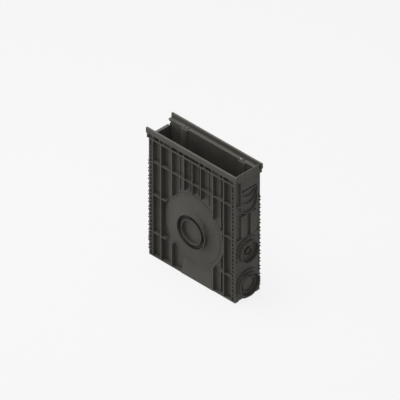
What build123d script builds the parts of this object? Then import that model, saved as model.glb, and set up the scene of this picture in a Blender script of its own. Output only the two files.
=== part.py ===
from build123d import *
import os
from math import sqrt

os.makedirs("parts", exist_ok=True)

# Sand trap for a linear drain. X is the length, Y the width, Z the height.
# The origin is the middle of the underside. The front side faces -Y.
# All sizes are in millimetres.

# Overall sizes
rim_length = 500.0
rim_width = 150.5
total_height = 610.0
body_length = 481.4
body_width = 136.5
clear_width = 100.0
wall = 2.5

# Rim with the seat for a grating
lip_width = 8.75
seat_depth = 20.0
seat_thickness = 4.0
lip_rounding = 1.2
web_height = 20.0
web_thickness = 4.0
web_foot = 2.0
web_places = (43.0, 73.0, 114.0, 156.0, 176.0, 212.0)
low_flange_thickness = 9.0
seat_hole_radius = 4.5
seat_hole_place = 162.0
seat_hole_from_middle = 59.0
seat_slot_place = 143.0
seat_slot_length = 12.0
seat_slot_width = 6.0
cover_thickness = 2.5

# Ribs on the long sides
rib = 5.5
thin_rib = 4.5
faint_rib = 3.0
faint_rib_depth = 3.0
cross_rib = 3.5
outer_rib_place = 175.0
inner_rib_place = 114.0
middle_rib_place = 46.5
faint_rib_places = (23.0, 80.0)
middle_rib_above_disc = 15.0
groove_inner_edge = 146.0
groove_depth = 5.0
high_cross_rib_drop = 129.0
mid_cross_rib = 299.0
low_cross_rib = 116.0
bottom_flange = 4.0
skirt_height = 64.0
skirt_rise = 1.5
skirt_left = -60.0
skirt_right = 118.0

# Corner strips with their rows of paired lugs
strip_thickness = 3.0
strip_width = 22.7
strip_border = 3.5
strip_groove_depth = 4.0
lug_reach = 4.8
lug_height = 5.0
lug_gap = 14.5
lug_pair_pitch = 37.0
lug_pairs = 14

# Pipe outlet on the long sides
disc_height = 227.0
disc_radius = 161.0
disc_edge = 3.0
disc_band = 14.0
disc_band_step = 1.0
disc_middle_rise = 4.5
neck_radius = 80.0
neck_wall = 4.0
neck_front = 77.0
neck_foot = 62.0
groove_floor = 57.0
ring_radius = 57.0
ring_wall = 4.0
ring_front = 75.0
membrane_front = 62.0
shell = 2.5

# End panels
end_thickness = 3.3
end_recess = 0.7
end_top_drop = 5.0
end_lift = 4.0
foot_width = 11.0
foot_place = 55.0
side_clearance = 0.3
channel_boss_width = 122.0
channel_boss_rise = 10.0
channel_boss_drop = 28.0
channel_boss_height = 115.0
channel_lip_width = 94.0
channel_lip_drop = 45.0
channel_round_drop = 120.0
channel_lip = 4.0
channel_recess_depth = 8.0
channel_line = 2.5
channel_line_rise = 6.0
channel_bar_drop = 12.0
channel_bar_height = 6.0
channel_line_lifts = (-4.0, 31.0)
pad_inner = 9.0
pad_outer = 43.0
pad_low = 303.0
pad_high = 408.0
pad_rise = 8.0
pad_gap = 4.0
ledge_height = 299.0
upper_pipe_height = 223.0
upper_pipe_radius = 50.0
upper_pipe_rise = 18.0
upper_ring_radius = 18.0
upper_boss_radius = 66.0
upper_boss_rise = 4.0
lower_pipe_height = 67.0
lower_pipe_radius = 55.0
lower_pipe_rise = 18.0
lower_ring_radius = 36.0
lower_boss_radius = 66.0
lower_boss_rise = 6.0
collar_wall = 3.5
collar_recess = 16.0
ring_rib = 2.5
ring_rib_rise = 8.0
inlet_half_width = 47.0
inlet_drop = 20.0
inlet_step_half_width = 54.0
inlet_step_drop = 11.0

# Floor of the trap, silt basket and its bail
base_thickness = 3.0
basket_end_clearance = 16.7
basket_side_clearance = 2.0
basket_height = 150.0
basket_wall = 2.5
basket_corner = 12.0
slot_length = 22.0
slot_height = 4.0
slot_pitch = 36.0
slot_count = 11
slot_row_pitch = 12.0
slot_rows = 3
slot_top_margin = 14.0
ear_width = 18.0
ear_thickness = 3.0
ear_above_pivot = 9.0
bail_rod = 6.0
bail_reach = 120.0
bail_corner = 14.0
bail_elbow = 4.0
bail_running_clearance = 0.05
bail_seat_gap = 0.5
bail_leg_inset = 5.0

# Levels and planes that follow from the sizes above
seat_top = total_height - seat_depth
seat_low = seat_top - seat_thickness
low_flange_top = seat_low - web_height
low_flange_low = low_flange_top - low_flange_thickness
wall_inner = clear_width / 2
wall_outer = wall_inner + wall
rib_plane = body_width / 2
rim_plane = rim_width / 2
lip_inner = rim_plane - lip_width
strip_back = rib_plane - strip_thickness
strip_end = body_length / 2
strip_start = strip_end - strip_width
end_outer = strip_end - end_recess
wall_end = end_outer - end_thickness
groove_outer_edge = outer_rib_place - rib / 2
ridge_inner = wall_inner - groove_depth
ridge_outer = ridge_inner + wall
ridge_start = groove_inner_edge - wall
ridge_end = groove_outer_edge + wall
end_top = total_height - end_top_drop
high_cross_rib = seat_low - high_cross_rib_drop
channel_boss_top = end_top - channel_boss_drop
channel_boss_foot = channel_boss_top - channel_boss_height
channel_lip_top = channel_boss_top - channel_lip_drop
channel_round_height = channel_boss_top - channel_round_drop
inlet_level = seat_low - inlet_drop
inlet_step_level = seat_low - inlet_step_drop
basket_length = 2 * (wall_end - basket_end_clearance)
basket_width = 2 * (ridge_inner - basket_side_clearance)
basket_rim = base_thickness + basket_height
pivot_height = basket_rim + bail_seat_gap + bail_rod / 2


def block(x_low, x_high, y_low, y_high, z_low, z_high, mode=Mode.ADD):
    """Add or cut a block between the given limits."""
    middle = ((x_low + x_high) / 2, (y_low + y_high) / 2, (z_low + z_high) / 2)
    with Locations(middle):
        Box(x_high - x_low, y_high - y_low, z_high - z_low, mode=mode)


def upright(place, thickness, z_low, z_high, plane=rib_plane):
    """Add an upright rib on the front wall, with its middle at the place given."""
    block(place - thickness / 2, place + thickness / 2, -plane, -wall_inner, z_low, z_high)


def ridge_outline(end, side):
    """Outline in plan of the ridge behind a groove, at the end and side given by their signs."""
    with BuildSketch(Plane.XY, mode=Mode.PRIVATE) as outline:
        with BuildLine():
            Polyline(
                (end * (ridge_start - groove_depth), side * wall_inner),
                (end * ridge_start, side * ridge_inner),
                (end * ridge_end, side * ridge_inner),
                (end * (ridge_end + groove_depth), side * wall_inner),
                close=True,
            )
        make_face()
    return outline.sketch


def beside_disc(place, gap):
    """Height above the disc's middle at which a line at the place given clears the disc."""
    reach = disc_radius + gap
    return sqrt(reach ** 2 - place ** 2)


def on_disc(depth, radius):
    """Point of the outlet's section, by its distance from the middle plane and its radius."""
    return (-depth, disc_height + radius)


def pipe_knock_out(height, boss_radius, boss_rise, pipe_radius, pipe_rise, ring_radius_inside):
    """Add one round knock-out to the right end panel: boss, collar, recess and inner ring."""
    limit = channel_boss_width / 2
    with BuildSketch(Plane.YZ.offset(end_outer)) as boss:
        with Locations((0, height)):
            Circle(boss_radius)
        with Locations((0, height)):
            Rectangle(2 * limit, 2 * height, mode=Mode.INTERSECT)
    extrude(boss.sketch, amount=boss_rise)
    with BuildSketch(Plane.YZ.offset(end_outer)) as collar:
        with Locations((0, height)):
            Circle(pipe_radius)
    extrude(collar.sketch, amount=pipe_rise)
    with BuildSketch(Plane.YZ.offset(end_outer + pipe_rise)) as recess:
        with Locations((0, height)):
            Circle(pipe_radius - collar_wall)
    extrude(recess.sketch, amount=-collar_recess, mode=Mode.SUBTRACT)
    with BuildSketch(Plane.YZ.offset(end_outer + pipe_rise - collar_recess)) as ring:
        with Locations((0, height)):
            Circle(ring_radius_inside)
            Circle(ring_radius_inside - ring_rib, mode=Mode.SUBTRACT)
    extrude(ring.sketch, amount=ring_rib_rise)


# Front side panel, one half first
with BuildPart() as side_panel_front:
    # Wall, with a deep groove that stands inwards as a ridge with sloping sides
    block(0, wall_end, -wall_outer, -wall_inner, 0, seat_low)
    extrude(ridge_outline(1, -1), amount=seat_low)
    block(
        groove_inner_edge, groove_outer_edge, -wall_outer, -ridge_outer, bottom_flange, low_flange_low,
        mode=Mode.SUBTRACT,
    )

    # Upright ribs
    rib_gap = wall
    disc_side = beside_disc(inner_rib_place + rib / 2, rib_gap)
    upright(outer_rib_place, rib, 0, low_flange_low)
    upright(inner_rib_place, rib, disc_height + disc_side, low_flange_low)
    upright(inner_rib_place, rib, 0, disc_height - disc_side)
    upright(middle_rib_place, thin_rib, disc_height + disc_radius + middle_rib_above_disc, low_flange_low)
    block(
        0, thin_rib / 2, -rib_plane, -wall_inner, disc_height + disc_radius + middle_rib_above_disc, low_flange_low
    )
    for faint_place in faint_rib_places:
        faint_low = disc_height + beside_disc(faint_place, middle_rib_above_disc)
        upright(faint_place, faint_rib, faint_low, low_flange_low, plane=wall_outer + faint_rib_depth)

    # Cross ribs and the flanges at the foot and under the rim
    for level, inner_end in (
        (high_cross_rib, 0.0),
        (mid_cross_rib, groove_inner_edge),
        (low_cross_rib, groove_inner_edge),
    ):
        rib_low = level - cross_rib / 2
        rib_high = level + cross_rib / 2
        block(inner_end, strip_start, -rib_plane, -wall_inner, rib_low, rib_high)
        block(groove_inner_edge, groove_outer_edge, -wall_outer, -ridge_inner, rib_low, rib_high)
    block(0, wall_end, -rib_plane, -wall_inner, 0, bottom_flange)
    block(0, wall_end, -rib_plane, -wall_inner, low_flange_low, low_flange_top)

    # Corner strip with its deep groove
    strip_body_end = wall_end - side_clearance
    block(strip_start, strip_start + wall, -rib_plane, -wall_inner, 0, seat_low)
    block(strip_start, strip_body_end, -rib_plane, -rib_plane + strip_groove_depth + wall, 0, seat_low)
    block(strip_start, strip_end, -rib_plane, -strip_back, 0, seat_low)
    block(
        strip_start + strip_border, strip_body_end - wall, -rib_plane, -rib_plane + strip_groove_depth,
        bottom_flange, low_flange_low, mode=Mode.SUBTRACT,
    )

    # Paired lugs that cross the strip, and reach past its edge below the high cross rib
    lug_inner = strip_start + strip_border
    lug_middle_y = -(rib_plane + strip_back) / 2
    lug_levels = [
        lug_pair_pitch * (pair + 1) + half * lug_gap / 2 for pair in range(lug_pairs) for half in (-1, 1)
    ]
    with Locations([((lug_inner + strip_end) / 2, lug_middle_y, level) for level in lug_levels]):
        Box(strip_end - lug_inner, strip_thickness, lug_height)
    reaching_levels = [level for level in lug_levels if level < high_cross_rib]
    with Locations([(strip_end + lug_reach / 2, lug_middle_y, level) for level in reaching_levels]):
        Box(lug_reach, strip_thickness, lug_height)

    # Rim: seat, lip and the webs that hold them
    block(0, wall_end, -rim_plane, -wall_inner, seat_low, seat_top)
    block(0, rim_length / 2, -rim_plane, -lip_inner, seat_low, total_height)
    block(wall_end, strip_end + web_thickness, -rim_plane, -strip_back, low_flange_top, seat_low)
    with BuildSketch(Plane.YZ, mode=Mode.PRIVATE) as web_outline:
        with BuildLine():
            Polyline(
                (-wall_inner, low_flange_top),
                (-rib_plane, low_flange_top),
                (-rib_plane - web_foot, low_flange_top),
                (-rim_plane, seat_low),
                (-wall_inner, seat_low),
                close=True,
            )
        make_face()
    for place in web_places:
        web_start = Plane.YZ.offset(place - web_thickness / 2)
        extrude(web_start * web_outline.sketch_local, amount=web_thickness)

    # Bays under the rim that are closed in front
    block(
        web_places[5], wall_end, -rib_plane, -rib_plane + cover_thickness, low_flange_top, seat_low
    )
    block(
        web_places[2], web_places[3], -rib_plane, -rib_plane + cover_thickness,
        low_flange_top, low_flange_top + web_height / 2,
    )

    # Hole and slot for the grating's fixing
    seat_middle = (seat_top + seat_low) / 2
    with Locations((seat_hole_place, -seat_hole_from_middle, seat_middle)):
        Cylinder(seat_hole_radius, seat_thickness * 2, mode=Mode.SUBTRACT)
    with Locations((seat_slot_place, -seat_hole_from_middle, seat_middle)):
        Box(seat_slot_length, seat_slot_width, seat_thickness * 2, mode=Mode.SUBTRACT)

    mirror(about=Plane.YZ)

    # Plain skirt under the disc, which slopes out to the foot
    with BuildSketch(Plane.YZ.offset(skirt_left), mode=Mode.PRIVATE) as skirt_outline:
        with BuildLine():
            Polyline(
                (-wall_inner, 0),
                (-rib_plane - skirt_rise, 0),
                (-wall_outer, skirt_height),
                (-wall_inner, skirt_height),
                close=True,
            )
        make_face()
    extrude(skirt_outline.sketch, amount=skirt_right - skirt_left)

    # The seat runs on to the end of the rim where the channel comes in
    block(-rim_length / 2, -wall_end, -rim_plane, -wall_inner, seat_low, seat_top)

    # Outlet disc: a stepped rim, a trumpet with the pipe neck, and the knock-out ring
    disc_axis = Axis((0, 0, disc_height), (0, 1, 0))
    disc_face = wall_outer + disc_edge
    trumpet_radius = disc_radius - disc_band
    with BuildSketch(Plane.YZ) as outlet_profile:
        with BuildLine():
            Polyline(
                on_disc(wall_inner, 0),
                on_disc(wall_inner, disc_radius),
                on_disc(disc_face - disc_band_step, disc_radius),
                on_disc(disc_face - disc_band_step, trumpet_radius),
                on_disc(disc_face, trumpet_radius),
            )
            ThreePointArc(
                on_disc(disc_face, trumpet_radius),
                on_disc(wall_outer + disc_middle_rise, (disc_radius + neck_radius) / 2),
                on_disc(neck_foot, neck_radius),
            )
            Polyline(
                on_disc(neck_foot, neck_radius),
                on_disc(neck_front, neck_radius),
                on_disc(neck_front, neck_radius - neck_wall),
                on_disc(groove_floor, neck_radius - neck_wall),
                on_disc(groove_floor, ring_radius),
                on_disc(ring_front, ring_radius),
                on_disc(ring_front, ring_radius - ring_wall),
                on_disc(membrane_front, ring_radius - ring_wall),
                on_disc(membrane_front, 0),
                on_disc(wall_inner, 0),
            )
        make_face()
    revolve(axis=disc_axis)
    with BuildSketch(Plane.YZ) as hollow_profile:
        with BuildLine():
            Polyline(
                on_disc(wall_inner, 0),
                on_disc(wall_inner, trumpet_radius),
                on_disc(disc_face - shell, trumpet_radius),
            )
            ThreePointArc(
                on_disc(disc_face - shell, trumpet_radius),
                on_disc(wall_outer + disc_middle_rise - shell, (disc_radius + neck_radius) / 2),
                on_disc(neck_foot - shell, neck_radius + shell),
            )
            Polyline(
                on_disc(neck_foot - shell, neck_radius + shell),
                on_disc(neck_foot - shell, neck_radius),
                on_disc(groove_floor - shell, neck_radius),
                on_disc(groove_floor - shell, ring_radius - ring_wall),
                on_disc(membrane_front - shell, ring_radius - ring_wall),
                on_disc(membrane_front - shell, 0),
                on_disc(wall_inner, 0),
            )
        make_face()
    revolve(axis=disc_axis, mode=Mode.SUBTRACT)

    # Rounded top edges of the lip
    lip_edges = side_panel_front.edges().filter_by(Axis.X).group_by(Axis.Z)[-1]
    fillet(lip_edges, radius=lip_rounding)

side_panel_front.part.label = "side_panel_front"
export_step(side_panel_front.part, "parts/side_panel_front.step")

# Rear side panel, the same moulding turned to the other side
with BuildPart() as side_panel_rear:
    mirror(side_panel_front.part, about=Plane.XZ)

side_panel_rear.part.label = "side_panel_rear"
export_step(side_panel_rear.part, "parts/side_panel_rear.step")


# Right end panel
with BuildPart() as end_panel_right:
    # Plate between the corner strips, and between the lips above them
    plate_half = strip_back - side_clearance
    block(wall_end, end_outer, -plate_half, plate_half, end_lift, seat_low)
    top_half = lip_inner - side_clearance
    block(wall_end, end_outer, -top_half, top_half, seat_low, end_top)
    for side in (-1, 1):
        foot_middle = side * foot_place
        block(wall_end, end_outer, foot_middle - foot_width / 2, foot_middle + foot_width / 2, 0, end_lift)

    # Boss with the outline of the drain channel
    boss_half = channel_boss_width / 2
    lip_half = channel_lip_width / 2
    with BuildSketch(Plane.YZ.offset(end_outer)) as channel_boss:
        with BuildLine():
            Polyline(
                (-lip_half, channel_round_height),
                (-boss_half, channel_boss_foot),
                (-boss_half, channel_boss_top),
                (boss_half, channel_boss_top),
                (boss_half, channel_boss_foot),
                (lip_half, channel_round_height),
            )
            ThreePointArc(
                (lip_half, channel_round_height),
                (0, channel_round_height - lip_half),
                (-lip_half, channel_round_height),
            )
        make_face()
    extrude(amount=channel_boss_rise)

    # Sunk pocket on each side of the channel outline, with a thin ledge under it
    boss_face = end_outer + channel_boss_rise
    pocket_low = channel_boss_foot + cross_rib
    for side in (-1, 1):
        pocket_y = sorted((side * lip_half, side * boss_half))
        block(end_outer, boss_face, *pocket_y, pocket_low, channel_boss_top, mode=Mode.SUBTRACT)

    # Slope from the boss up to the panel's top edge
    with BuildSketch(Plane.XZ) as slope_outline:
        with BuildLine():
            Polyline(
                (end_outer, channel_boss_top),
                (boss_face, channel_boss_top),
                (end_outer, end_top),
                close=True,
            )
        make_face()
    extrude(amount=boss_half, both=True)

    # Recess of the channel knock-out
    recess_half = lip_half - channel_lip
    with BuildSketch(Plane.YZ.offset(boss_face)) as channel_recess:
        with BuildLine():
            Polyline(
                (-recess_half, channel_round_height),
                (-recess_half, channel_lip_top),
                (recess_half, channel_lip_top),
                (recess_half, channel_round_height),
            )
            ThreePointArc(
                (recess_half, channel_round_height),
                (0, channel_round_height - recess_half),
                (-recess_half, channel_round_height),
            )
        make_face()
    extrude(amount=-channel_recess_depth, mode=Mode.SUBTRACT)

    # Cutting lines for shallower channels, each an arc across the recess
    for line_lift in channel_line_lifts:
        line_bottom = channel_round_height + line_lift
        with BuildSketch(Plane.YZ.offset(boss_face - channel_recess_depth)) as cutting_line:
            with Locations((0, line_bottom + recess_half)):
                Circle(recess_half)
                Circle(recess_half - channel_line, mode=Mode.SUBTRACT)
            with Locations((0, line_bottom + recess_half * 3 / 2)):
                Rectangle(recess_half * 2, recess_half, mode=Mode.SUBTRACT)
            with Locations((0, line_bottom + recess_half * 2)):
                Rectangle(recess_half * 3, recess_half * 2, mode=Mode.SUBTRACT)
        extrude(amount=channel_line_rise)
    bar_middle = channel_lip_top - channel_bar_drop
    with Locations((boss_face - channel_recess_depth + channel_line_rise / 2, 0, bar_middle)):
        Box(channel_line_rise, recess_half * 2, channel_bar_height)

    # Upright pads under the channel boss, and the ledge under them
    pad_face = end_outer + pad_rise
    for side in (-1, 1):
        pad_middle = side * (pad_inner + pad_outer) / 2
        with BuildSketch(Plane.YZ.offset(end_outer)) as pad:
            with Locations((pad_middle, (pad_low + pad_high) / 2)):
                Rectangle(pad_outer - pad_inner, pad_high - pad_low)
            with Locations((0, channel_round_height)):
                Circle(lip_half + pad_gap, mode=Mode.SUBTRACT)
        extrude(amount=pad_rise)
    block(
        end_outer, pad_face, -boss_half, boss_half, ledge_height - cross_rib / 2, ledge_height + cross_rib / 2
    )

    # Pipe knock-outs: a flat boss, a collar and an inner ring
    pipe_knock_out(upper_pipe_height, upper_boss_radius, upper_boss_rise, upper_pipe_radius, upper_pipe_rise,
                   upper_ring_radius)
    pipe_knock_out(lower_pipe_height, lower_boss_radius, lower_boss_rise, lower_pipe_radius, lower_pipe_rise,
                   lower_ring_radius)

end_panel_right.part.label = "end_panel_right"
export_step(end_panel_right.part, "parts/end_panel_right.step")

# Left end panel, the same moulding turned to the other end, its top cut away in steps for the channel
with BuildPart() as end_panel_left:
    mirror(end_panel_right.part, about=Plane.YZ)
    for cut_half, cut_level in (
        (inlet_half_width, inlet_level),
        (inlet_step_half_width, inlet_step_level),
        (rim_plane, seat_low),
    ):
        block(-boss_face, -wall_end, -cut_half, cut_half, cut_level, total_height, mode=Mode.SUBTRACT)

end_panel_left.part.label = "end_panel_left"
export_step(end_panel_left.part, "parts/end_panel_left.step")


# Floor of the trap, notched round the ridges of the side walls
with BuildPart() as base_plate:
    floor_x = wall_end
    floor_y = wall_inner
    block(-floor_x, floor_x, -floor_y, floor_y, 0, base_thickness)
    for end in (-1, 1):
        for side in (-1, 1):
            extrude(ridge_outline(end, side), amount=base_thickness, both=True, mode=Mode.SUBTRACT)

base_plate.part.label = "base_plate"
export_step(base_plate.part, "parts/base_plate.step")


# Silt basket with slots near its rim and an ear in the middle of each long side
with BuildPart() as silt_basket:
    with BuildSketch(Plane.XY.offset(base_thickness)):
        RectangleRounded(basket_length, basket_width, basket_corner)
    extrude(amount=basket_height)
    with BuildSketch(Plane.XY.offset(base_thickness + basket_wall)):
        RectangleRounded(
            basket_length - 2 * basket_wall, basket_width - 2 * basket_wall, basket_corner - basket_wall
        )
    extrude(amount=basket_height, mode=Mode.SUBTRACT)

    # Rows of slots through both long walls
    slot_middle = basket_rim - slot_top_margin - (slot_rows - 1) * slot_row_pitch / 2
    with BuildSketch(Plane.XZ.offset(-basket_width)):
        with Locations((0, slot_middle)):
            with GridLocations(slot_pitch, slot_row_pitch, slot_count, slot_rows):
                SlotOverall(slot_length, slot_height)
    extrude(amount=2 * basket_width, mode=Mode.SUBTRACT)

    # Ears for the bail
    ear_top = pivot_height + ear_above_pivot
    ear_outer = basket_width / 2
    for side in (-1, 1):
        ear_y = sorted((side * ear_outer, side * (ear_outer - ear_thickness)))
        block(-ear_width / 2, ear_width / 2, *ear_y, basket_rim - ear_width, ear_top)
    pivot_hole = bail_rod / 2 + bail_running_clearance
    with Locations(Location((0, 0, pivot_height), (90, 0, 0))):
        Cylinder(pivot_hole, 2 * basket_width, mode=Mode.SUBTRACT)

silt_basket.part.label = "silt_basket"
export_step(silt_basket.part, "parts/silt_basket.step")


# Bail: one bent rod, its ends turned out into the ears
with BuildPart() as basket_handle:
    leg = basket_width / 2 - ear_thickness - bail_leg_inset
    stub_end = basket_width / 2
    with BuildLine() as bail_line:
        FilletPolyline(
            (0, -stub_end, pivot_height),
            (0, -leg, pivot_height),
            (-bail_reach, -leg, pivot_height),
            (-bail_reach, leg, pivot_height),
            (0, leg, pivot_height),
            (0, stub_end, pivot_height),
            radius=(bail_elbow, bail_corner, bail_corner, bail_elbow),
        )
    with BuildSketch(Plane((0, -stub_end, pivot_height), x_dir=(1, 0, 0), z_dir=(0, 1, 0))):
        Circle(bail_rod / 2)
    sweep()

basket_handle.part.label = "basket_handle"
export_step(basket_handle.part, "parts/basket_handle.step")
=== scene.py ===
"""Looks of a plastic sand trap for a linear drain.

Finishes, rounded edges, small repeated details, light and camera.
"""

import logging
import math
from dataclasses import dataclass, field
from enum import Enum

import bmesh
import bpy
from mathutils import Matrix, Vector


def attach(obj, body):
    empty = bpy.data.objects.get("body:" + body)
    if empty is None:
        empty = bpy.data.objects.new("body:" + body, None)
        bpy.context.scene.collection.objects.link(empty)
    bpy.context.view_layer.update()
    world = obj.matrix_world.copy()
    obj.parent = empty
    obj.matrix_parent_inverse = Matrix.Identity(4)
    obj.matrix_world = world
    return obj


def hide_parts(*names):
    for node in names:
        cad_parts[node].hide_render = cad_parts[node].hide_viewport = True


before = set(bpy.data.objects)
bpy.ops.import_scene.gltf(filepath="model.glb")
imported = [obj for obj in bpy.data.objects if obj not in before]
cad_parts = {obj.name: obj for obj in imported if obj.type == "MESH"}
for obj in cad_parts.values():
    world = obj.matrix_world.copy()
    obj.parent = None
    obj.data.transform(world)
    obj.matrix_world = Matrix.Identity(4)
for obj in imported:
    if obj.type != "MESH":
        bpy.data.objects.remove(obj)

LOG = logging.getLogger("sand_trap")
MM = 0.001
# Middle range of a noise pattern, which most of its values fall in
PATTERN_WEAK = 0.3
PATTERN_STRONG = 0.7


class Body(Enum):
    """Bodies that pieces ride on."""

    TRAP = "trap"
    BAIL = "bail"


class Wall(Enum):
    """The two long sides, by the sign of Y."""

    FRONT = -1
    REAR = 1


class ShaderSheet:
    """Short way to add and link nodes in one material."""

    def __init__(self, name: str) -> None:
        """Start an empty material.

        Args:
            name: Name of the material.
        """
        self.material = bpy.data.materials.new(name)
        self.material.use_nodes = True
        self.tree = self.material.node_tree
        self.tree.nodes.clear()

    def add(self, kind: str, **settings: object) -> bpy.types.Node:
        """Add a node and set its plain properties.

        Args:
            kind: Blender's type name of the node.
            settings: Properties of the node.

        Returns:
            The new node.
        """
        node = self.tree.nodes.new(kind)
        for name, value in settings.items():
            setattr(node, name, value)
        return node

    def link(self, start: bpy.types.NodeSocket, end: bpy.types.NodeSocket) -> None:
        """Join an output to an input."""
        self.tree.links.new(start, end)

    def noise(self, place: bpy.types.NodeSocket, scale: float, detail: float) -> bpy.types.NodeSocket:
        """Add a noise pattern.

        Args:
            place: Coordinates that the pattern reads.
            scale: Waves per metre.
            detail: Octaves of finer noise.

        Returns:
            The pattern's value, from 0 to 1.
        """
        node = self.add("ShaderNodeTexNoise")
        node.inputs["Scale"].default_value = scale
        node.inputs["Detail"].default_value = detail
        self.link(place, node.inputs["Vector"])
        return node.outputs["Fac"]

    def spread(self, value: bpy.types.NodeSocket, low: float, high: float) -> bpy.types.NodeSocket:
        """Map a pattern's middle range onto two limits.

        Args:
            value: The pattern.
            low: Result where the pattern is weak.
            high: Result where it is strong.

        Returns:
            The mapped value.
        """
        node = self.add("ShaderNodeMapRange")
        node.inputs["From Min"].default_value = PATTERN_WEAK
        node.inputs["From Max"].default_value = PATTERN_STRONG
        node.inputs["To Min"].default_value = low
        node.inputs["To Max"].default_value = high
        self.link(value, node.inputs["Value"])
        return node.outputs["Result"]

    def bump(
        self, height: bpy.types.NodeSocket, depth: float, strength: float, under: bpy.types.NodeSocket | None
    ) -> bpy.types.NodeSocket:
        """Add a bump on top of another normal.

        Args:
            height: Height pattern.
            depth: Real height of the pattern, in metres.
            strength: How much of it shows.
            under: Normal that the bump is added to, if any.

        Returns:
            The bumped normal.
        """
        node = self.add("ShaderNodeBump")
        node.inputs["Distance"].default_value = depth
        node.inputs["Strength"].default_value = strength
        self.link(height, node.inputs["Height"])
        if under is not None:
            self.link(under, node.inputs["Normal"])
        return node.outputs["Normal"]


@dataclass(frozen=True)
class MouldedPlastic:
    """Injection-moulded plastic with a fine spark-eroded grain, faint flow clouds and uneven gloss."""

    name: str
    colour: tuple[float, float, float]
    cloud: float = 0.10
    roughness: float = 0.50
    grain_waves: float = 1500.0
    grain_depth: float = 0.00012
    grain_strength: float = 0.45
    ripple_waves: float = 85.0
    ripple_depth: float = 0.0005
    ripple_strength: float = 0.16
    surface_detail: float = 2.0
    cloud_waves: float = 7.0
    cloud_detail: float = 5.0
    streak_waves: tuple[float, float, float] = (46.0, 46.0, 3.0)
    streak_detail: float = 3.0
    gloss_waves: float = 28.0
    gloss_detail: float = 6.0
    gloss_swing: float = 0.07
    specular: float = 0.20

    def make(self) -> bpy.types.Material:
        """Build the material.

        Returns:
            The material.
        """
        sheet = ShaderSheet(self.name)
        place = sheet.add("ShaderNodeTexCoord").outputs["Object"]
        shader = sheet.add("ShaderNodeBsdfPrincipled")
        shader.inputs["Specular IOR Level"].default_value = self.specular

        stretch = sheet.add("ShaderNodeMapping")
        stretch.inputs["Scale"].default_value = self.streak_waves
        sheet.link(place, stretch.inputs["Vector"])
        clouds = sheet.noise(place, self.cloud_waves, self.cloud_detail)
        streaks = sheet.noise(stretch.outputs["Vector"], 1.0, self.streak_detail)
        both = sheet.add("ShaderNodeMath", operation="ADD")
        sheet.link(sheet.spread(clouds, -self.cloud, self.cloud), both.inputs[0])
        sheet.link(sheet.spread(streaks, -self.cloud / 2, self.cloud / 2), both.inputs[1])
        shade = sheet.add("ShaderNodeMath", operation="ADD")
        sheet.link(both.outputs[0], shade.inputs[0])
        shade.inputs[1].default_value = 1.0
        tint = sheet.add("ShaderNodeVectorMath", operation="SCALE")
        tint.inputs[0].default_value = self.colour
        sheet.link(shade.outputs[0], tint.inputs["Scale"])
        sheet.link(tint.outputs[0], shader.inputs["Base Color"])

        gloss = sheet.noise(place, self.gloss_waves, self.gloss_detail)
        low, high = self.roughness - self.gloss_swing, self.roughness + self.gloss_swing
        sheet.link(sheet.spread(gloss, low, high), shader.inputs["Roughness"])

        waves = sheet.noise(place, self.ripple_waves, self.surface_detail)
        ripple = sheet.bump(waves, self.ripple_depth, self.ripple_strength, None)
        grit = sheet.noise(place, self.grain_waves, self.surface_detail)
        grain = sheet.bump(grit, self.grain_depth, self.grain_strength, ripple)
        sheet.link(grain, shader.inputs["Normal"])
        output = sheet.add("ShaderNodeOutputMaterial")
        sheet.link(shader.outputs["BSDF"], output.inputs["Surface"])
        return sheet.material


@dataclass(frozen=True)
class ZincPlate:
    """Bright zinc plating on a drawn steel rod: lengthwise draw marks and cloudy spangle."""

    name: str
    colour: tuple[float, float, float] = (0.52, 0.54, 0.56)
    roughness: float = 0.34
    smoother_by: float = 0.08
    rougher_by: float = 0.12
    draw_waves: tuple[float, float, float] = (90.0, 900.0, 900.0)
    draw_detail: float = 4.0
    draw_depth: float = 0.00005
    draw_strength: float = 0.3
    spangle_waves: float = 260.0
    spangle_shades: tuple[float, float] = (0.86, 1.08)

    def make(self) -> bpy.types.Material:
        """Build the material.

        Returns:
            The material.
        """
        sheet = ShaderSheet(self.name)
        place = sheet.add("ShaderNodeTexCoord").outputs["Object"]
        shader = sheet.add("ShaderNodeBsdfPrincipled")
        shader.inputs["Metallic"].default_value = 1.0
        cells = sheet.add("ShaderNodeTexVoronoi")
        cells.inputs["Scale"].default_value = self.spangle_waves
        sheet.link(place, cells.inputs["Vector"])
        tint = sheet.add("ShaderNodeVectorMath", operation="SCALE")
        tint.inputs[0].default_value = self.colour
        sheet.link(sheet.spread(cells.outputs["Distance"], *self.spangle_shades), tint.inputs["Scale"])
        sheet.link(tint.outputs[0], shader.inputs["Base Color"])
        stretch = sheet.add("ShaderNodeMapping")
        stretch.inputs["Scale"].default_value = self.draw_waves
        sheet.link(place, stretch.inputs["Vector"])
        marks = sheet.noise(stretch.outputs["Vector"], 1.0, self.draw_detail)
        low, high = self.roughness - self.smoother_by, self.roughness + self.rougher_by
        sheet.link(sheet.spread(marks, low, high), shader.inputs["Roughness"])
        sheet.link(sheet.bump(marks, self.draw_depth, self.draw_strength, None), shader.inputs["Normal"])
        output = sheet.add("ShaderNodeOutputMaterial")
        sheet.link(shader.outputs["BSDF"], output.inputs["Surface"])
        return sheet.material


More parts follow.
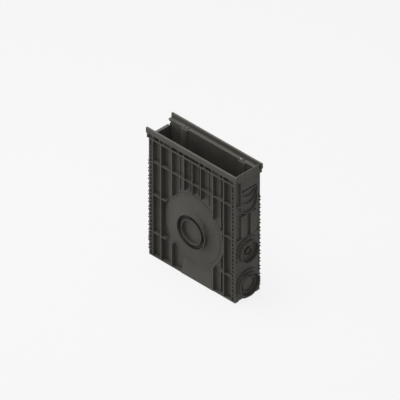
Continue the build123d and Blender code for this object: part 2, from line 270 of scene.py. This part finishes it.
class PatternTree:
    """One Geometry Nodes tree with named inputs, and the way to turn it into a plain mesh."""

    def __init__(self, name: str) -> None:
        """Start an empty tree.

        Args:
            name: Name of the tree.
        """
        self.tree = bpy.data.node_groups.new(name, "GeometryNodeTree")
        self.tree.interface.new_socket("Geometry", in_out="INPUT", socket_type="NodeSocketGeometry")
        self.tree.interface.new_socket("Geometry", in_out="OUTPUT", socket_type="NodeSocketGeometry")
        self.entry = self.add("NodeGroupInput")
        self.exit = self.add("NodeGroupOutput")
        self.identifiers: dict[str, str] = {}

    def add(self, kind: str, **settings: object) -> bpy.types.Node:
        """Add a node and set its plain properties.

        Args:
            kind: Blender's type name of the node.
            settings: Properties of the node.

        Returns:
            The new node.
        """
        node = self.tree.nodes.new(kind)
        for name, value in settings.items():
            setattr(node, name, value)
        return node

    def link(self, start: bpy.types.NodeSocket, end: bpy.types.NodeSocket) -> None:
        """Join an output to an input."""
        self.tree.links.new(start, end)

    def size(self, name: str, kind: str = "NodeSocketFloat") -> bpy.types.NodeSocket:
        """Add a named input.

        Args:
            name: Name of the input.
            kind: Type of its socket.

        Returns:
            The output of the input node that carries it.
        """
        item = self.tree.interface.new_socket(name, in_out="INPUT", socket_type=kind)
        self.identifiers[name] = item.identifier
        return self.entry.outputs[name]

    def vector(self, **parts: bpy.types.NodeSocket) -> bpy.types.NodeSocket:
        """Join up to three numbers into a vector.

        Args:
            parts: Sockets for X, Y and Z.

        Returns:
            The vector.
        """
        node = self.add("ShaderNodeCombineXYZ")
        for axis, socket in parts.items():
            self.link(socket, node.inputs[axis])
        return node.outputs[0]

    def finish(self, geometry: bpy.types.NodeSocket, material: bpy.types.Material) -> None:
        """Make the instances real, set the material and close the tree.

        Args:
            geometry: What the tree has made.
            material: Finish of the result.
        """
        real = self.add("GeometryNodeRealizeInstances")
        coat = self.add("GeometryNodeSetMaterial")
        coat.inputs["Material"].default_value = material
        self.link(geometry, real.inputs[0])
        self.link(real.outputs[0], coat.inputs["Geometry"])
        self.link(coat.outputs[0], self.exit.inputs[0])

    def bake(self, carrier: bpy.types.Object, name: str, values: dict[str, object]) -> bpy.types.Object:
        """Run the tree on an object and keep the result as a plain mesh.

        Args:
            carrier: Object that the tree reads. It is removed afterwards.
            name: Name of the new piece.
            values: Values of the named inputs.

        Returns:
            The new piece.
        """
        modifier = carrier.modifiers.new(name, "NODES")
        modifier.node_group = self.tree
        for key, value in values.items():
            modifier[self.identifiers[key]] = value
        bpy.context.view_layer.update()
        evaluated = carrier.evaluated_get(bpy.context.evaluated_depsgraph_get())
        mesh = bpy.data.meshes.new_from_object(evaluated)
        mesh.name = name
        carrier.modifiers.remove(modifier)
        bpy.data.objects.remove(carrier)
        return place_mesh(mesh, name)


def place_mesh(mesh: bpy.types.Mesh, name: str) -> bpy.types.Object:
    """Put a mesh in the scene as an object at the origin.

    Args:
        mesh: The mesh.
        name: Name of the object.

    Returns:
        The object.
    """
    piece = bpy.data.objects.new(name, mesh)
    bpy.context.scene.collection.objects.link(piece)
    return piece


def point_carrier(name: str, points: list[tuple[float, float, float]]) -> bpy.types.Object:
    """Make a mesh of loose points that a tree puts copies on.

    Args:
        name: Name of the object.
        points: Places of the points, in metres.

    Returns:
        The object.
    """
    mesh = bpy.data.meshes.new(name)
    mesh.from_pydata(points, [], [])
    return place_mesh(mesh, name)


def report(piece: bpy.types.Object) -> None:
    """Log a piece's name and how many faces it has."""
    LOG.info("%s: %d faces", piece.name, len(piece.data.polygons))


@dataclass
class MouldedShell:
    """A moulding taken from the frame, with the small edge rounding that every mould leaves."""

    node: str
    piece_name: str
    slot: str
    body: Body = Body.TRAP
    edge_rounding: float = 0.9 * MM
    rounding_steps: int = 2
    sharp_angle: float = math.radians(28.0)
    flat_angle: float = math.radians(0.3)
    weld: float = 0.001 * MM

    def build(self) -> bpy.types.Object:
        """Copy the solid, join its triangles into true faces and round its edges.

        Returns:
            The moulding.
        """
        shell = bmesh.new()
        shell.from_mesh(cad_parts[self.node].data)
        bmesh.ops.remove_doubles(shell, verts=shell.verts, dist=self.weld)
        bmesh.ops.dissolve_limit(
            shell, angle_limit=self.flat_angle, verts=shell.verts, edges=shell.edges, delimit={"NORMAL"}
        )
        mesh = bpy.data.meshes.new(self.piece_name)
        shell.to_mesh(mesh)
        shell.free()
        mesh.polygons.foreach_set("use_smooth", [True] * len(mesh.polygons))
        mesh.set_sharp_from_angle(angle=self.sharp_angle)
        piece = place_mesh(mesh, self.piece_name)
        bevel = piece.modifiers.new("edge rounding", "BEVEL")
        bevel.width = self.edge_rounding
        bevel.segments = self.rounding_steps
        bevel.limit_method = "ANGLE"
        bevel.angle_limit = self.sharp_angle
        bevel.harden_normals = True
        bevel.use_clamp_overlap = True
        return piece

    def dress(self, piece: bpy.types.Object, material: bpy.types.Material) -> None:
        """Give the moulding its finish and its place on the frame."""
        piece.data.materials.clear()
        piece.data.materials.append(material)
        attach(piece, self.body.value)
        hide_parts(self.node)
        report(piece)


@dataclass
class CornerLugs:
    """Rounded treads on the paired lugs that climb the four corner strips."""

    half_length: float = 231.1 * MM
    face: float = 68.25 * MM
    pair_pitch: float = 37.0 * MM
    pair_gap: float = 14.5 * MM
    pairs: int = 14
    length: float = 18.4 * MM
    height: float = 4.2 * MM
    rise: float = 0.8 * MM
    corner: float = 1.4 * MM
    corner_points: int = 3
    weld: float = 0.01 * MM

    def places(self) -> list[tuple[float, float, float]]:
        """Return the middle of every lug's face."""
        return [
            (end * self.half_length, wall.value * self.face, self.pair_pitch * (pair + 1) + half * self.pair_gap / 2)
            for end in (-1, 1)
            for wall in Wall
            for pair in range(self.pairs)
            for half in (-1, 1)
        ]

    def build(self, material: bpy.types.Material) -> bpy.types.Object:
        """Lay one rounded tread on every lug.

        Args:
            material: Finish of the treads.

        Returns:
            All treads as one piece.
        """
        tree = PatternTree("corner lugs")
        outline = tree.add("GeometryNodeCurvePrimitiveQuadrilateral")
        tree.link(tree.size("Length"), outline.inputs["Width"])
        tree.link(tree.size("Height"), outline.inputs["Height"])
        rounded = tree.add("GeometryNodeFilletCurve", mode="POLY")
        rounded.inputs["Count"].default_value = self.corner_points
        tree.link(outline.outputs[0], rounded.inputs["Curve"])
        tree.link(tree.size("Corner"), rounded.inputs["Radius"])
        sheet = tree.add("GeometryNodeFillCurve")
        tree.link(rounded.outputs[0], sheet.inputs["Curve"])
        thick = tree.add("GeometryNodeExtrudeMesh")
        thick.inputs["Individual"].default_value = False
        tree.link(sheet.outputs[0], thick.inputs["Mesh"])
        tree.link(tree.size("Rise"), thick.inputs["Offset Scale"])
        back = tree.add("GeometryNodeFlipFaces")
        tree.link(sheet.outputs[0], back.inputs["Mesh"])
        closed = tree.add("GeometryNodeJoinGeometry")
        tree.link(thick.outputs["Mesh"], closed.inputs[0])
        tree.link(back.outputs[0], closed.inputs[0])
        welded = tree.add("GeometryNodeMergeByDistance")
        welded.inputs["Distance"].default_value = self.weld
        tree.link(closed.outputs[0], welded.inputs["Geometry"])
        upright = tree.add("GeometryNodeTransform")
        upright.inputs["Rotation"].default_value = (math.pi / 2, 0.0, 0.0)
        tree.link(welded.outputs[0], upright.inputs["Geometry"])

        place = tree.add("GeometryNodeInputPosition")
        split = tree.add("ShaderNodeSeparateXYZ")
        tree.link(place.outputs[0], split.inputs[0])
        rear = tree.add("ShaderNodeMath", operation="GREATER_THAN")
        rear.inputs[1].default_value = 0.0
        tree.link(split.outputs["Y"], rear.inputs[0])
        turn = tree.add("ShaderNodeMath", operation="MULTIPLY")
        turn.inputs[1].default_value = math.pi
        tree.link(rear.outputs[0], turn.inputs[0])
        copies = tree.add("GeometryNodeInstanceOnPoints")
        tree.link(tree.entry.outputs["Geometry"], copies.inputs["Points"])
        tree.link(upright.outputs[0], copies.inputs["Instance"])
        tree.link(tree.vector(Z=turn.outputs[0]), copies.inputs["Rotation"])
        tree.finish(copies.outputs[0], material)
        values = {"Length": self.length, "Height": self.height, "Corner": self.corner, "Rise": self.rise}
        piece = tree.bake(point_carrier("lug places", self.places()), "corner_lug_treads", values)
        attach(piece, Body.TRAP.value)
        report(piece)
        return piece


@dataclass
class RimCells:
    """Small upright cell walls in the closed bays under the rim, where the moulding is cored out."""

    bay_middles: tuple[float, ...] = (135.0 * MM, 224.4 * MM)
    bay_widths: tuple[float, ...] = (36.0 * MM, 22.0 * MM)
    face: float = 68.25 * MM
    low: float = 566.0 * MM
    pitch: float = 4.6 * MM
    fin_width: float = 1.3 * MM
    fin_depth: float = 2.2 * MM
    fin_heights: tuple[float, ...] = (9.0 * MM, 18.0 * MM)
    fin_sink: float = 0.2 * MM

    def places(self, bay: int) -> list[tuple[float, float, float]]:
        """Return the middles of the fins in one kind of bay.

        Args:
            bay: Number of the bay, from the middle outwards.

        Returns:
            One place for each fin on both ends of both sides.
        """
        count = int(self.bay_widths[bay] / self.pitch)
        first = self.bay_middles[bay] - (count - 1) * self.pitch / 2
        middle_height = self.low + self.fin_heights[bay] / 2
        depth = self.face + self.fin_depth / 2 - self.fin_sink
        return [
            (end * (first + step * self.pitch), wall.value * depth, middle_height)
            for end in (-1, 1)
            for wall in Wall
            for step in range(count)
        ]

    def build(self, material: bpy.types.Material) -> list[bpy.types.Object]:
        """Stand the fins in their bays.

        Args:
            material: Finish of the fins.

        Returns:
            One piece for each kind of bay.
        """
        tree = PatternTree("rim cells")
        fin = tree.add("GeometryNodeMeshCube")
        tree.link(
            tree.vector(X=tree.size("Width"), Y=tree.size("Depth"), Z=tree.size("Height")), fin.inputs["Size"]
        )
        copies = tree.add("GeometryNodeInstanceOnPoints")
        tree.link(tree.entry.outputs["Geometry"], copies.inputs["Points"])
        tree.link(fin.outputs["Mesh"], copies.inputs["Instance"])
        tree.finish(copies.outputs[0], material)
        pieces = []
        for bay, name in enumerate(("rim_cells_inner", "rim_cells_outer")):
            values = {"Width": self.fin_width, "Depth": self.fin_depth, "Height": self.fin_heights[bay]}
            piece = tree.bake(point_carrier("fin places", self.places(bay)), name, values)
            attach(piece, Body.TRAP.value)
            report(piece)
            pieces.append(piece)
        return pieces


@dataclass
class Bail:
    """The basket's bail: one bent rod that turns in two ears."""

    reach: float = 120.0 * MM
    leg: float = 35.0 * MM
    stub_end: float = 43.0 * MM
    pivot_height: float = 156.5 * MM
    rod: float = 6.0 * MM
    elbow: float = 4.0 * MM
    corner: float = 14.0 * MM
    bend_points: int = 10
    section_points: int = 24
    sharp_angle: float = math.radians(50.0)

    def path(self) -> bpy.types.Object:
        """Draw the rod's line, with each bend's radius kept on its point.

        Returns:
            A curve of straight runs.
        """
        stops = (
            (0.0, -self.stub_end, 0.0),
            (0.0, -self.leg, self.elbow),
            (-self.reach, -self.leg, self.corner),
            (-self.reach, self.leg, self.corner),
            (0.0, self.leg, self.elbow),
            (0.0, self.stub_end, 0.0),
        )
        curve = bpy.data.curves.new("bail line", "CURVE")
        curve.dimensions = "3D"
        line = curve.splines.new("POLY")
        line.points.add(len(stops) - 1)
        for point, (across, along, bend) in zip(line.points, stops):
            point.co = (across, along, self.pivot_height, 1.0)
            point.radius = bend
        carrier = bpy.data.objects.new("bail line", curve)
        bpy.context.scene.collection.objects.link(carrier)
        return carrier

    def build(self, material: bpy.types.Material) -> bpy.types.Object:
        """Bend the line and sweep the rod along it.

        Args:
            material: Finish of the rod.

        Returns:
            The bail.
        """
        tree = PatternTree("bail rod")
        bend = tree.add("GeometryNodeInputRadius")
        bent = tree.add("GeometryNodeFilletCurve", mode="POLY")
        bent.inputs["Count"].default_value = self.bend_points
        tree.link(tree.entry.outputs["Geometry"], bent.inputs["Curve"])
        tree.link(bend.outputs[0], bent.inputs["Radius"])
        even = tree.add("GeometryNodeSetCurveRadius")
        even.inputs["Radius"].default_value = 1.0
        tree.link(bent.outputs[0], even.inputs["Curve"])
        section = tree.add("GeometryNodeCurvePrimitiveCircle")
        section.inputs["Resolution"].default_value = self.section_points
        tree.link(tree.size("Rod radius"), section.inputs["Radius"])
        swept = tree.add("GeometryNodeCurveToMesh")
        swept.inputs["Fill Caps"].default_value = True
        tree.link(even.outputs[0], swept.inputs["Curve"])
        tree.link(section.outputs[0], swept.inputs["Profile Curve"])
        tree.finish(swept.outputs[0], material)
        piece = tree.bake(self.path(), "bail_rod", {"Rod radius": self.rod / 2})
        piece.data.polygons.foreach_set("use_smooth", [True] * len(piece.data.polygons))
        piece.data.set_sharp_from_angle(angle=self.sharp_angle)
        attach(piece, Body.BAIL.value)
        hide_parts("basket_handle")
        report(piece)
        return piece


@dataclass
class Studio:
    """Pale floor, soft lamps, white surroundings and the camera."""

    floor_size: float = 9.0
    floor_shade: float = 0.35
    white_share: float = 0.85
    surround: float = 0.48
    key_power: float = 65.0
    key_place: tuple[float, float, float] = (-3.2, -2.05, 0.8)
    key_size: float = 2.2
    fill_power: float = 22.0
    fill_place: tuple[float, float, float] = (2.6, -2.6, 2.4)
    fill_size: float = 3.0
    top_power: float = 172.0
    top_place: tuple[float, float, float] = (-0.5, -0.3, 4.0)
    top_size: float = 2.0
    aim: tuple[float, float, float] = (0.0, 0.0, 0.3)
    frame_width: float = 1.5828
    lens: float = 1000.0
    sensor: float = 36.0
    far_clip: float = 200.0
    centre_right: float = -0.01674
    centre_up: float = 0.2829
    azimuth: float = math.radians(45.0)
    elevation: float = math.asin(math.tan(math.radians(30.0)))

    def light_floor(self) -> None:
        """Lay the floor and surround the scene with soft white light."""
        half = self.floor_size / 2
        mesh = bpy.data.meshes.new("floor")
        corners = [(-half, -half, 0.0), (half, -half, 0.0), (half, half, 0.0), (-half, half, 0.0)]
        mesh.from_pydata(corners, [], [(0, 1, 2, 3)])
        floor = place_mesh(mesh, "floor")
        sheet = ShaderSheet("pale floor")
        shader = sheet.add("ShaderNodeBsdfDiffuse")
        shader.inputs["Color"].default_value = (self.floor_shade,) * 3 + (1.0,)
        white = sheet.add("ShaderNodeEmission")
        mix = sheet.add("ShaderNodeMixShader")
        amount = sheet.add("ShaderNodeMath", operation="MULTIPLY")
        amount.inputs[1].default_value = self.white_share
        sheet.link(self.seen_rays(sheet.tree), amount.inputs[0])
        sheet.link(amount.outputs[0], mix.inputs[0])
        sheet.link(shader.outputs[0], mix.inputs[1])
        sheet.link(white.outputs[0], mix.inputs[2])
        output = sheet.add("ShaderNodeOutputMaterial")
        sheet.link(mix.outputs[0], output.inputs["Surface"])
        mesh.materials.append(sheet.material)

        world = bpy.data.worlds.new("white room")
        bpy.context.scene.world = world
        world.use_nodes = True
        tree = world.node_tree
        tree.nodes.clear()
        soft = tree.nodes.new("ShaderNodeBackground")
        soft.inputs["Color"].default_value = (1.0, 1.0, 1.0, 1.0)
        soft.inputs["Strength"].default_value = self.surround
        seen = tree.nodes.new("ShaderNodeBackground")
        seen.inputs["Color"].default_value = (1.0, 1.0, 1.0, 1.0)
        seen.inputs["Strength"].default_value = 1.0
        choose = tree.nodes.new("ShaderNodeMixShader")
        out = tree.nodes.new("ShaderNodeOutputWorld")
        tree.links.new(self.seen_rays(tree), choose.inputs[0])
        tree.links.new(soft.outputs[0], choose.inputs[1])
        tree.links.new(seen.outputs[0], choose.inputs[2])
        tree.links.new(choose.outputs[0], out.inputs["Surface"])

    @staticmethod
    def seen_rays(tree: bpy.types.NodeTree) -> bpy.types.NodeSocket:
        """Pick out the rays that show the surroundings, straight, mirrored or through glass.

        Args:
            tree: Node tree of a material or of the world.

        Returns:
            A value that is 1 for those rays and 0 for the others.
        """
        path = tree.nodes.new("ShaderNodeLightPath")
        mirrored = tree.nodes.new("ShaderNodeMath")
        mirrored.operation = "MAXIMUM"
        tree.links.new(path.outputs["Is Camera Ray"], mirrored.inputs[0])
        tree.links.new(path.outputs["Is Glossy Ray"], mirrored.inputs[1])
        seen = tree.nodes.new("ShaderNodeMath")
        seen.operation = "MAXIMUM"
        tree.links.new(mirrored.outputs[0], seen.inputs[0])
        tree.links.new(path.outputs["Is Transmission Ray"], seen.inputs[1])
        return seen.outputs[0]

    def lamp(self, name: str, place: tuple[float, float, float], power: float, size: float) -> None:
        """Hang one square lamp that faces the object.

        Args:
            name: Name of the lamp.
            place: Its place, in metres.
            power: Its power, in watts.
            size: Length of its side, in metres.
        """
        data = bpy.data.lights.new(name, "AREA")
        data.energy = power
        data.size = size
        lamp = bpy.data.objects.new(name, data)
        lamp.location = place
        lamp.rotation_euler = (Vector(self.aim) - Vector(place)).to_track_quat("-Z", "Y").to_euler()
        bpy.context.scene.collection.objects.link(lamp)

    def camera(self) -> None:
        """Set up a very long lens at the photograph's isometric angle."""
        across = Vector((math.cos(self.azimuth), math.sin(self.azimuth), 0.0))
        flat, tilt = math.cos(self.elevation), math.sin(self.elevation)
        back = Vector((math.sin(self.azimuth) * flat, -math.cos(self.azimuth) * flat, tilt))
        upward = back.cross(across)
        target = across * self.centre_right + upward * self.centre_up
        data = bpy.data.cameras.new("camera")
        data.lens = self.lens
        data.sensor_width = self.sensor
        data.clip_end = self.far_clip
        camera = bpy.data.objects.new("camera", data)
        camera.location = target + back * (self.frame_width * self.lens / self.sensor)
        camera.rotation_euler = (-back).to_track_quat("-Z", "Y").to_euler()
        bpy.context.scene.collection.objects.link(camera)
        bpy.context.scene.camera = camera

    def build(self) -> None:
        """Set up floor, lamps, camera and plain colour handling."""
        self.light_floor()
        self.lamp("key lamp", self.key_place, self.key_power, self.key_size)
        self.lamp("fill lamp", self.fill_place, self.fill_power, self.fill_size)
        self.lamp("top lamp", self.top_place, self.top_power, self.top_size)
        self.camera()
        bpy.context.scene.view_settings.view_transform = "Standard"


@dataclass
class SandTrap:
    """The whole trap: its mouldings, their details and the basket's bail."""

    plastic: MouldedPlastic = MouldedPlastic("charcoal plastic", (0.062, 0.0587, 0.0515))
    basket_plastic: MouldedPlastic = MouldedPlastic("basket plastic", (0.060, 0.060, 0.062))
    steel: ZincPlate = ZincPlate("zinc plate")
    shells: tuple[MouldedShell, ...] = (
        MouldedShell("side_panel_front", "front_side_moulding", "side_plastic"),
        MouldedShell("side_panel_rear", "rear_side_moulding", "side_plastic"),
        MouldedShell("end_panel_left", "left_end_moulding", "end_plastic"),
        MouldedShell("end_panel_right", "right_end_moulding", "end_plastic"),
        MouldedShell("base_plate", "floor_moulding", "base_plastic"),
    )
    basket: MouldedShell = field(
        default_factory=lambda: MouldedShell("silt_basket", "basket_moulding", "basket_plastic")
    )

    def build(self) -> None:
        """Build every piece in order."""
        body_finish = self.plastic.make()
        basket_finish = self.basket_plastic.make()
        steel_finish = self.steel.make()
        for shell in self.shells:
            shell.dress(shell.build(), body_finish)
        self.basket.dress(self.basket.build(), basket_finish)
        CornerLugs().build(body_finish)
        RimCells().build(body_finish)
        Bail().build(steel_finish)


def main() -> None:
    """Build the studio and the trap."""
    logging.basicConfig(level=logging.INFO, format="%(message)s")
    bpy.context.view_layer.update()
    Studio().build()
    SandTrap().build()


if __name__ == "__main__":
    main()
